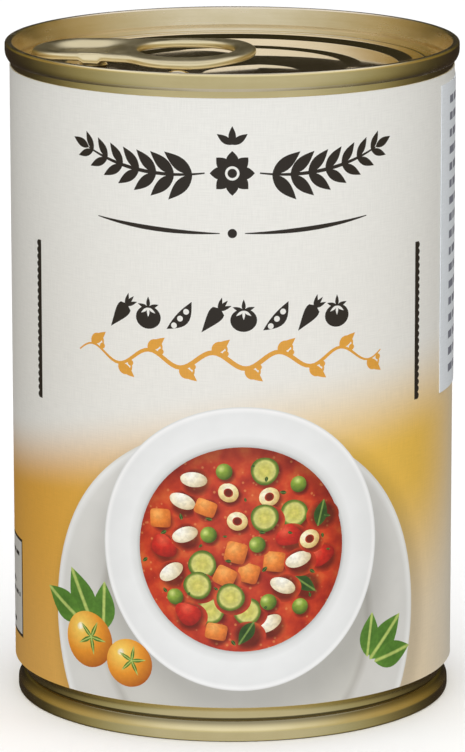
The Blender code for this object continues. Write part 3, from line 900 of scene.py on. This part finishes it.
def tab_points(outline, hole, rivet_hole):
    """Flat points over the ring pull, each with its distances from the outline and from the hole."""
    trees = (distance_tree(outline), distance_tree(hole))

    def distances(point):
        return [tree.find(point.to_3d())[2] for tree in trees]

    placed = [(p, distances(p)) for p in outline + hole + rivet_hole]
    for loop, turn, width in ((outline, 1, TAB_OUTER_ROLL_WIDTH), (hole, -1, TAB_HOLE_ROLL_WIDTH)):
        for k in range(1, TAB_ROLL_LOOPS + 1):
            inward = width * (1 - math.cos(math.pi / 2 * k / TAB_ROLL_LOOPS))
            for point in offset_loop(loop, turn * inward):
                far = distances(point)
                if min(far) > inward - TAB_LOOP_SLACK:
                    placed.append((point, far))
    rim = TAB_OUTER_ROLL_WIDTH + TAB_GRID_MARGIN
    rows = round(RING_RADIUS / TAB_GRID)
    for column in range(*(round(end / TAB_GRID) for end in TAB_ENDS)):
        for row in range(-rows, rows + 1):
            point = Vector(((column + 0.5 * (row % 2)) * TAB_GRID, row * TAB_GRID))
            far = distances(point)
            inside = abs(point.y) < tab_half_width(point.x)
            if inside and min(far) > rim and point.length > RIVET_HOLE_RADIUS + TAB_GRID_MARGIN:
                placed.append((point, far))
    return placed


def make_pull_tab(metal, underside_shade):
    """The ring pull, with the middle of its underside painted near-black as shade."""
    outline = tab_outline()
    hole = oval(HOLE_CENTRE, HOLE_HALF_LENGTH, HOLE_HALF_WIDTH, TAB_HOLE_POINTS)
    rivet_hole = oval(0.0, RIVET_HOLE_RADIUS, RIVET_HOLE_RADIUS, RIVET_HOLE_POINTS)
    placed = tab_points(outline, hole, rivet_hole)
    loops = []
    start = 0
    for loop in (outline, hole, rivet_hole):
        loops.append(list(range(start, start + len(loop))))
        start += len(loop)
    found = delaunay_2d_cdt([p for p, far in placed], [], loops, 1, 1e-4, True)
    points, triangles, sources, owners = found[0], found[2], found[3], found[5]
    edges = [placed[s[0]][1] if s else (0.0, 0.0) for s in sources]
    rim_points = set(loops[0] + loops[1])
    upper = []
    lower = []
    for point, edge, source in zip(points, edges, sources):
        high, low = tab_heights(*point, *edge)
        if rim_points & set(source):
            high = low = (high + low) / 2
        upper.append((*point, high))
        lower.append((*point, low))
    shape = bmesh.new()
    above = [shape.verts.new(p) for p in upper]
    below = [shape.verts.new(p) for p in lower]
    for triangle, owner in zip(triangles, owners):
        if owner == [0]:
            # underside faces inside the rolled edge get the near-black painted shade metal
            painted_shade_face = min(min(edges[i]) for i in triangle) > TAB_OUTER_ROLL_WIDTH
            shape.faces.new([above[i] for i in triangle])
            shape.faces.new([below[i] for i in reversed(triangle)]).material_index = int(painted_shade_face)
    close_round_hole(shape, above, below, [i for i, s in enumerate(sources) if set(s) & set(loops[2])])
    bmesh.ops.remove_doubles(shape, verts=shape.verts, dist=TAB_WELD)
    bmesh.ops.delete(shape, geom=[v for v in shape.verts if not v.link_faces], context="VERTS")
    bmesh.ops.recalc_face_normals(shape, faces=shape.faces)
    mesh = bpy.data.meshes.new("ring_pull")
    shape.to_mesh(mesh)
    shape.free()
    turn = Matrix.Rotation(math.radians(TAB_TURN_DEGREES), 4, "Z")
    mesh.transform(Matrix.Translation((*RIVET_PLACE, 0.0)) @ turn)
    add_metal(mesh, "pull_tab", [metal, underside_shade], 60)


def close_round_hole(shape, above, below, ring):
    """The wall between the upper and the lower edge of a round hole about the origin."""
    ring = sorted(ring, key=lambda i: math.atan2(above[i].co.y, above[i].co.x))
    for first, second in zip(ring, ring[1:] + ring[:1]):
        shape.faces.new([above[first], above[second], below[second], below[first]])


# Printed paper

def rectangle(low, high):
    return [Vector(low), Vector((high[0], low[1])), Vector(high), Vector((low[0], high[1]))]


def flat_split(low, high, outlines, strip):
    """Triangles of a rectangle cut by outlines and upright lines, with their topmost outlines' numbers."""
    points = rectangle(low, high)
    faces = [[0, 1, 2, 3]]
    edges = []
    for t in shares(math.ceil((high[0] - low[0]) / strip))[1:-1]:
        u = mix(low[0], high[0], t)
        edges.append((len(points), len(points) + 1))
        points += [Vector((u, low[1])), Vector((u, high[1]))]
    for outline in outlines:
        faces.append(list(range(len(points), len(points) + len(outline))))
        points += [Vector((p[0], min(max(p[1], low[1] + TRIM), high[1] - TRIM))) for p in outline]
    found = delaunay_2d_cdt(points, edges, faces, 1, 1e-5, True)
    return found[0], found[2], [max(owner) for owner in found[5]]


def printed_sheet(name, inner, low, high, shapes, inks, thickness=PAPER_THICKNESS, lap=0.0):
    """A sheet bent round the can between two (u, v) corners, printed with (outline, ink, place) shapes.

    The last lap of its length rises, to lie on the sheet's own first end.
    """
    outer = inner + thickness
    strip = math.radians(STRIP_DEGREES) * outer
    points, triangles, owners = flat_split(low, high, [s[0] for s in shapes], strip)

    def bend(point, radius):
        radius += LAP_LIFT * ease((point.x - high[0] + lap) / LAP_SLOPE) if lap else 0.0
        angle = point.x / outer
        return Vector((radius * math.sin(angle), -radius * math.cos(angle), point.y)) * MM

    vertices = [bend(point, outer) for point in points]
    faces = [tuple(t) for t in triangles]
    front_count = len(faces)
    outside = []
    inside = []
    for v in (low[1], high[1]):
        edge = sorted((i for i, p in enumerate(points) if abs(p.y - v) < 1e-4), key=lambda i: points[i].x)
        outside.append(edge)
        inside.append(range(len(vertices), len(vertices) + len(edge)))
        vertices += [bend(points[i], inner) for i in edge]
    (low_out, high_out), (low_in, high_in) = outside, inside
    for i in range(len(low_out) - 1):
        faces.append((low_out[i + 1], low_out[i], low_in[i], low_in[i + 1]))
        faces.append((high_out[i], high_out[i + 1], high_in[i + 1], high_in[i]))
        faces.append((low_in[i], high_in[i], high_in[i + 1], low_in[i + 1]))
    faces.append((low_out[0], high_out[0], high_in[0], low_in[0]))
    faces.append((high_out[-1], low_out[-1], low_in[-1], high_in[-1]))
    mesh = new_mesh(name, vertices, faces)
    numbers = {ink: i for i, ink in enumerate(inks)}
    printed = [numbers[shapes[owner - 1][1]] if owner else 0 for owner in owners]
    mesh.polygons.foreach_set("material_index", printed + [0] * (len(faces) - front_count))
    add_sheet_maps(mesh, points, owners, shapes, low, high, outer)
    mesh.shade_smooth()
    normals = []
    for polygon in mesh.polygons:
        for corner in polygon.vertices:
            place = mesh.vertices[corner].co
            outward = Vector((place.x, place.y, 0.0)).normalized()
            normals.append(outward if polygon.index < front_count else polygon.normal)
    mesh.normals_split_custom_set(normals)
    return mesh


def add_sheet_maps(mesh, points, owners, shapes, low, high, radius):
    """UV maps: the whole sheet for baking, the sheet in mm, and each shape's own frame."""
    bake, sheet, own = (mesh.uv_layers.new(name=name) for name in ("OFBake", "Sheet", "Shape"))
    for polygon in mesh.polygons:
        owner = owners[polygon.index] if polygon.index < len(owners) else 0
        for loop in polygon.loop_indices:
            corner = mesh.loops[loop].vertex_index
            if corner < len(points):
                place = points[corner]
            else:
                at = mesh.vertices[corner].co
                place = Vector((math.atan2(at.x, -at.y) * radius, at.z / MM))
            sheet.data[loop].uv = place
            across = [(at - start) / (end - start) for at, start, end in zip(place, low, high)]
            bake.data[loop].uv = [mix(BAKE_MARGIN, 1 - BAKE_MARGIN, share) for share in across]
            if owner:
                centre, scale, angle = shapes[owner - 1][2]
                local = (place - Vector(centre)) / scale
                local.rotate(Matrix.Rotation(-angle, 2))
                own.data[loop].uv = local


# Printed motifs: outlines about their own origin, stamped on a sheet

def round_outline(ratio=1.0, wobble=0.0, lobes=3, phase=0.0, count=28):
    """A closed curve: a circle, flattened by ratio and waved by wobble."""
    points = []
    for angle in round_angles(count):
        reach = 1 + wobble * math.sin(lobes * angle + phase)
        points.append(Vector((reach * math.cos(angle), ratio * reach * math.sin(angle))))
    return points


def box_outline(ratio=1.0, squareness=0.35, count=24):
    """A box with round corners, flattened by ratio."""
    points = []
    for angle in round_angles(count):
        x, y = (math.copysign(abs(w) ** squareness, w) for w in (math.cos(angle), math.sin(angle)))
        points.append(Vector((x, ratio * y)))
    return points


def leaf_outline(ratio=0.32, fullest=0.8, bend=0.0, steps=10):
    """A pointed leaf from (0, 0) to (1, 0)."""
    lower = []
    upper = []
    for t in shares(steps):
        half = ratio / 2 * math.sin(math.pi * t ** fullest)
        middle = bend * math.sin(math.pi * t)
        lower.append(Vector((t, middle - half)))
        upper.append(Vector((t, middle + half)))
    return lower + upper[-2:0:-1]


def stroke_outline(path, width, ends=0.15):
    """A pen stroke along a path, thinner at both ends."""
    right = []
    left = []
    last = len(path) - 1
    for i, point in enumerate(path):
        along = (path[min(i + 1, last)] - path[max(i - 1, 0)]).normalized()
        half = width / 2 * (ends + (1 - ends) * math.sin(math.pi * i / last))
        right.append(point + Vector((along.y, -along.x)) * half)
        left.append(point - Vector((along.y, -along.x)) * half)
    return right + left[::-1]


def stamp(shapes, outline, ink, centre=(0.0, 0.0), size=1.0, degrees=0.0):
    """Adds an outline to the printed shapes, scaled, turned and moved."""
    angle = math.radians(degrees)
    turn = Matrix.Rotation(angle, 2)
    placed = [Vector(centre) + turn @ point * size for point in outline]
    shapes.append((placed, ink, (centre, size, angle)))


def fan(shapes, outline, ink, centre, size, angles):
    """Stamps an outline once at each angle."""
    for degrees in angles:
        stamp(shapes, outline, ink, centre, size, degrees)


def curved_path(start, degrees, length, turn_degrees, steps=14):
    """A path that sets off at an angle and turns evenly along its length."""
    points = [Vector(start)]
    for i in range(steps):
        angle = math.radians(degrees + turn_degrees * (i + 0.5) / steps)
        points.append(points[-1] + Vector((math.cos(angle), math.sin(angle))) * length / steps)
    return points


def leafy_branch(shapes, start, degrees, length, turn_degrees, leaves, leaf_size, width=0.6):
    """A bent stalk with leaves on both sides that get smaller towards its tip."""
    path = curved_path(start, degrees, length, turn_degrees, 3 * leaves)
    for i in range(leaves):
        along = path[3 * i + 3] - path[3 * i + 1]
        heading = math.degrees(math.atan2(along.y, along.x))
        size = leaf_size * (1 - 0.5 * i / leaves)
        fan(shapes, leaf_outline(0.36, 0.85), "brown", path[3 * i + 2], size, (heading - 42, heading + 42))
    stamp(shapes, leaf_outline(0.4, 0.85), "brown", path[-1], leaf_size * 0.6, degrees + turn_degrees)
    stamp(shapes, stroke_outline(path, width, 0.4), "brown")


def head_ornament(shapes):
    """Two leafy branches beside a rosette, over two tapered rules."""
    for mirror, ahead in ((1, 0), (-1, 180)):
        leafy_branch(shapes, (4.4 * mirror, HEAD_CENTRE[1]), ahead - 8 * mirror, 20.8, 32 * mirror, 7, 5.8)
        rule = curved_path((2.0 * mirror, HEAD_RULE_HEIGHT), ahead, 21.0, 9 * mirror)
        stamp(shapes, stroke_outline(rule, 0.75, 0.2), "brown")
    fan(shapes, leaf_outline(0.56, 1.25), "brown", HEAD_CENTRE, 3.6, range(0, 360, 45))
    stamp(shapes, round_outline(), "ground", HEAD_CENTRE, 1.15)
    stamp(shapes, round_outline(), "brown", HEAD_CENTRE, 0.75)
    fan(shapes, leaf_outline(0.4, 0.85), "brown", HEAD_SPRIG, 3.0, (35, 90, 145))
    stamp(shapes, round_outline(), "brown", (0.0, HEAD_RULE_HEIGHT), 0.75)


def carrot_motif(shapes, u, v):
    stamp(shapes, leaf_outline(0.5, 0.45), "brown", (u + 1.5, v + 1.6), 5.0, 232)
    fan(shapes, leaf_outline(0.3), "brown", (u + 1.2, v + 1.3), 2.2, (20, 48, 76))


def tomato_motif(shapes, u, v):
    stamp(shapes, round_outline(0.88), "brown", (u, v - 0.3), 2.15)
    fan(shapes, leaf_outline(0.34), "brown", (u, v + 1.2), 1.9, (20, 90, 160))
    fan(shapes, leaf_outline(0.3), "ground", (u, v + 1.25), 1.5, (-35, 215, 270))


def pod_motif(shapes, u, v):
    stamp(shapes, leaf_outline(0.36, 1.0, -0.12), "brown", (u - 2.1, v - 2.0), 6.2, 48)
    for k in (-1, 0, 1):
        stamp(shapes, round_outline(count=14), "ground", (u + 0.15 + k, v - 0.2 + 1.15 * k), 0.48)


def vegetable_row(shapes):
    """Small plain vegetables in a row."""
    motifs = (carrot_motif, tomato_motif, pod_motif)
    for i in range(ROW_COUNT):
        u = ROW_CENTRE[0] + (i - (ROW_COUNT - 1) / 2) * ROW_PITCH
        motifs[i % len(motifs)](shapes, u, ROW_CENTRE[1])


def vine(shapes):
    """A waving orange stem with leaves and small curls."""
    start, end, height = VINE
    path = []
    for t in shares(VINE_STEPS):
        u = mix(start, end, t)
        path.append(Vector((u, height + VINE_SWING * math.sin((u - start) * 2 * math.pi / VINE_WAVE))))
    count = round((end - start) / VINE_WAVE * 2)
    for i in range(count):
        place = path[round((i + 0.5) / count * VINE_STEPS)]
        side = 1 if i % 2 == 0 else -1
        stamp(shapes, leaf_outline(0.42, 0.8), "orange", place, 3.5, 38 * side)
        curl = curved_path(place, 110 * side, 4.6, -230 * side)
        stamp(shapes, stroke_outline(curl, 0.55, 0.3), "orange")
        stamp(shapes, round_outline(count=12), "orange", curl[-1], 0.5)
    stamp(shapes, stroke_outline(path, 0.8, 0.3), "orange")


def scalloped_stripe(shapes, u, low, high, side):
    """An upright stripe with a row of scallops along one side."""
    count = 4 * round((high - low) / SCALLOP_PITCH)
    straight = [Vector((u, low)), Vector((u, high))]
    waved = []
    for t in shares(count):
        bulge = SCALLOP_EDGE[0] + SCALLOP_EDGE[1] * abs(math.sin(math.pi * t * count / 4))
        waved.append(Vector((u + side * bulge, mix(low, high, t))))
    stamp(shapes, straight[::-1] + waved if side > 0 else straight + waved[::-1], "brown")


def scattered(centre, reach, count, gap, chance):
    """Places inside a circle that keep a gap between them."""
    places = []
    for attempt in range(SCATTER_TRIES):
        place = Vector((chance.uniform(-reach, reach), chance.uniform(-reach, reach)))
        if place.length < reach and all((place - other).length > gap for other in places):
            places.append(place)
    return [Vector(centre) + place for place in places[:count]]


def soup_piece(shapes, kind, at, chance):
    """One piece in the broth with its shadow."""
    outline, size = {
        "carrot": (box_outline(chance.uniform(0.75, 1.0)), 1.75),
        "courgette": (round_outline(1.0, 0.03, 3), 2.3),
        "bean": (round_outline(0.62, 0.08, 2, 0.6), 2.1),
        "pasta": (round_outline(0.9), 1.7),
        "pea": (round_outline(count=20), 1.35),
        "tomato": (round_outline(0.8, 0.09, 3, at.x), 2.2),
        "basil": (leaf_outline(0.5, 0.85), 4.6),
    }[kind]
    shadow = 2.2 if kind == "basil" else size
    degrees = chance.uniform(0, 360) if kind in ("basil", "courgette") else chance.uniform(-35, 35)
    stamp(shapes, round_outline(0.85), "soup_shadow", at + Vector((0.35, -0.45)), shadow * 1.32)
    if kind == "basil":
        at = at - Matrix.Rotation(math.radians(degrees), 2) @ Vector((size / 2, 0.0))
    stamp(shapes, outline, kind, at, size, degrees)
    if kind == "pasta":
        stamp(shapes, round_outline(0.9, count=16), "soup_shadow", at, 0.8, degrees)


def soup_plate(shapes):
    """Seen from above: a large white plate, the soup plate on it and the soup with its pieces."""
    stamp(shapes, round_outline(count=120), "charger", CHARGER_CENTRE, CHARGER_RADIUS)
    stamp(shapes, round_outline(count=100), "plate", PLATE_CENTRE, PLATE_RADIUS)
    stamp(shapes, round_outline(count=80), "soup", PLATE_CENTRE, SOUP_RADIUS)
    chance = random.Random(SOUP_SEED)
    for i, at in enumerate(scattered(PLATE_CENTRE, SOUP_RADIUS - 2.5, 44, 3.5, chance)):
        soup_piece(shapes, SOUP_PIECES[i % len(SOUP_PIECES)], at, chance)
    for at in scattered(PLATE_CENTRE, SOUP_RADIUS - 1.0, 24, 2.6, chance):
        stamp(shapes, leaf_outline(0.55), "basil", at, chance.uniform(0.7, 1.2), chance.uniform(0, 360))


def garnish(shapes):
    """Golden tomatoes with leaves at the left, and a sprig at the right."""
    for at, size, degrees in SPRIG_LEAVES:
        stamp(shapes, leaf_outline(0.52, 0.85), "leaf", at, size, degrees)
    for (u, v), size in GOLD_TOMATOES:
        stamp(shapes, round_outline(0.96, count=40), "gold_tomato", (u, v), size)
        shine = (u - 0.36 * size, v + 0.4 * size)
        stamp(shapes, round_outline(0.7, count=16), "shine", shine, 0.17 * size, 35)
        calyx = (u + 0.12 * size, v + 0.1 * size)
        angles = [72 * k + 20 * u for k in range(5)]
        fan(shapes, leaf_outline(0.26, 0.7), "leaf", calyx, 0.62 * size, angles)


def info_panel(shapes, u, low, high, width, lines):
    """A plain framed panel of bars."""
    for ink, inset in (("brown", 0.0), ("panel", PANEL_FRAME)):
        stamp(shapes, rectangle((u + inset, low + inset), (u + width - inset, high - inset)), ink)
    corners = (u + PANEL_MARGIN, low + PANEL_MARGIN), (u + width - PANEL_MARGIN, high - PANEL_MARGIN)
    bars(shapes, "brown", *corners, lines, PANEL_BAR_SHARE)


def bars(shapes, ink, low, high, lines, height_share):
    """Rows of short plain bars with ragged ends."""
    pitch = (high[1] - low[1]) / lines
    chance = random.Random(lines)
    for i in range(lines):
        v = high[1] - (i + 1) * pitch
        end = high[0] - (high[0] - low[0]) * 0.11 * ((i * 7) % 4)
        u = low[0]
        while u < end:
            stop = min(u + chance.uniform(*BAR_LENGTHS), end)
            stamp(shapes, rectangle((u, v), (stop, v + pitch * height_share)), ink)
            u = stop + BAR_GAP


def back_ornament(shapes):
    """The label's back: a tall panel, vegetables below it and a branch on either side."""
    info_panel(shapes, *BACK_PANEL)
    centre = BACK_PANEL[0] + BACK_PANEL[3] / 2
    for motif, step in ((carrot_motif, -1), (tomato_motif, 0), (pod_motif, 1)):
        motif(shapes, centre + step * ROW_PITCH * 1.3, BACK_PANEL[1] - 9.0)
    for u in BACK_BRANCHES:
        leafy_branch(shapes, (u, 52.0), 90, 34.0, 0, 9, 6.0)


def make_label():
    """The wrap-round label, glued over its own end at the back."""
    half_round = math.pi * LABEL_RADIUS
    low = (BACK_SEAM - half_round, LABEL_LOW.z)
    high = (BACK_SEAM + half_round + LAP, LABEL_HIGH.z)
    shapes = []
    head_ornament(shapes)
    vegetable_row(shapes)
    vine(shapes)
    for stripe in STRIPES:
        scalloped_stripe(shapes, *stripe)
    soup_plate(shapes)
    garnish(shapes)
    info_panel(shapes, *LEFT_PANEL)
    back_ornament(shapes)
    inks = label_inks()
    mesh = printed_sheet("paper_label", LABEL_RADIUS - PAPER_THICKNESS, low, high, shapes, inks, lap=LAP)
    add_piece(mesh, "label", list(inks.values()))


def make_sticker():
    """The extra sticker on the right-hand side of the label, with rows of plain bars."""
    inner = LABEL_RADIUS + STICKER_GAP
    low = (STICKER_START * (inner + PAPER_THICKNESS), STICKER_LOW.z)
    high = (low[0] + STICKER_WIDTH, STICKER_HIGH.z)
    bars_low = (low[0] + STICKER_BARS_LOW[0], low[1] + STICKER_BARS_LOW[1])
    bars_high = (high[0] - STICKER_BARS_HIGH[0], high[1] - STICKER_BARS_HIGH[1])
    shapes = []
    bars(shapes, "grey", bars_low, bars_high, STICKER_ROWS, STICKER_BAR_SHARE)
    inks = {name: plain_ink(f"sticker_{name}", screen) for name, screen in STICKER_INKS.items()}
    mesh = printed_sheet("sticker", inner, low, high, shapes, inks)
    add_piece(mesh, "side_sticker", list(inks.values()))


# Stage

def make_camera():
    camera = new_object("photo_camera", bpy.data.cameras.new("photo_camera"))
    camera.data.sensor_width = SENSOR_WIDTH
    camera.data.lens = CAMERA_LENS
    camera.data.clip_start = 0.05
    turn = Matrix.Rotation(math.pi / 2 - CAMERA_PITCH, 4, "X") @ Matrix.Rotation(CAMERA_ROLL, 4, "Z")
    camera.matrix_world = Matrix.Translation(CAMERA_PLACE) @ turn
    bpy.context.scene.camera = camera


def make_floor():
    """A wide pale floor that mirrors nothing into the metal."""
    corners = rectangle((-FLOOR_HALF_SIZE, -FLOOR_HALF_SIZE), (FLOOR_HALF_SIZE, FLOOR_HALF_SIZE))
    mesh = new_mesh("floor", [corner.to_3d() for corner in corners], [(0, 1, 2, 3)])
    material, shader = new_material("pale_floor")
    shader.inputs["Base Color"].default_value = FLOOR_COLOUR
    shader.inputs["Roughness"].default_value = 0.9
    mesh.materials.append(material)
    floor = new_object("floor", mesh)
    floor.visible_glossy = False
    floor.visible_diffuse = False


def make_world():
    """A soft studio: even light for matt surfaces, and for metal a room bright in front and above."""
    world = bpy.data.worlds.new("studio")
    world.use_nodes = True
    world.cycles.sampling_method = "NONE"
    bpy.context.scene.world = world
    tree = world.node_tree
    ray = add_node(tree, "ShaderNodeLightPath").outputs
    direction = split(tree, add_node(tree, "ShaderNodeTexCoord").outputs["Generated"])
    height = direction["Z"]
    across = add_node(tree, "ShaderNodeCombineXYZ", {"X": direction["X"], "Y": direction["Y"]}).outputs[0]
    behind = split(tree, vector_maths(tree, "NORMALIZE", across).outputs[0])["Y"]
    forward = maths(tree, "SUBTRACT", 0.5, product(tree, behind, 0.5))
    even_forward = maths(tree, "SUBTRACT", 0.5, product(tree, direction["Y"], 0.5))
    low, middle = (ramp(tree, forward, stops) for stops in (LOW_ROOM, MIDDLE_ROOM))
    mirrored = colour_mix(tree, between(tree, height, *LOW_TO_MIDDLE), low, middle)
    upper = colour_mix(tree, between(tree, height, *UPPER_TO_OVERHEAD), UPPER_ROOM, OVERHEAD)
    lifted = maths(tree, "ADD", height, product(tree, forward, FRONT_LIFT))
    mirrored = colour_mix(tree, between(tree, lifted, *MIDDLE_TO_UPPER), mirrored, upper)
    even = ramp(tree, even_forward, MATT_ROOM)
    even = colour_mix(tree, between(tree, height, *MATT_TO_CEILING), even, MATT_CEILING)
    seen = colour_mix(tree, ray["Is Glossy Ray"], even, mirrored)
    seen = colour_mix(tree, ray["Is Camera Ray"], seen, (1.0, 1.0, 1.0))
    tree.links.new(seen, tree.nodes["Background"].inputs["Color"])


def make_key_light():
    light = bpy.data.lights.new("key_softbox", "AREA")
    light.shape = "RECTANGLE"
    light.size, light.size_y = KEY_SIZE
    light.energy = KEY_RADIANCE * math.pi * KEY_SIZE[0] * KEY_SIZE[1]
    key = new_object("key_softbox", light)
    key.location = KEY_PLACE
    key.rotation_euler = (KEY_AIM - KEY_PLACE).to_track_quat("-Z", "Y").to_euler()
    key.visible_glossy = False


bpy.context.scene.view_settings.view_transform = "Standard"
make_camera()
make_floor()
make_world()
make_key_light()
lid_gold, chuck_gold, wall_gold, ring_gold, underside_shade_gold = (
    gold_metal(*metal) for metal in (LID_METAL, CHUCK_METAL, WALL_METAL, RING_METAL, UNDERSIDE_SHADE_METAL)
)
# the lower seam's metal, with painted shade towards the neck
foot_gold_painted_shade = gold_metal(*FOOT_METAL, painted_groove_shade=GROOVE_SHADE)
make_can_body(wall_gold)
make_top_end(lid_gold, chuck_gold, wall_gold)
make_rivet(ring_gold)
make_bottom_end(foot_gold_painted_shade, wall_gold)
make_pull_tab(ring_gold, underside_shade_gold)
make_label()
make_sticker()
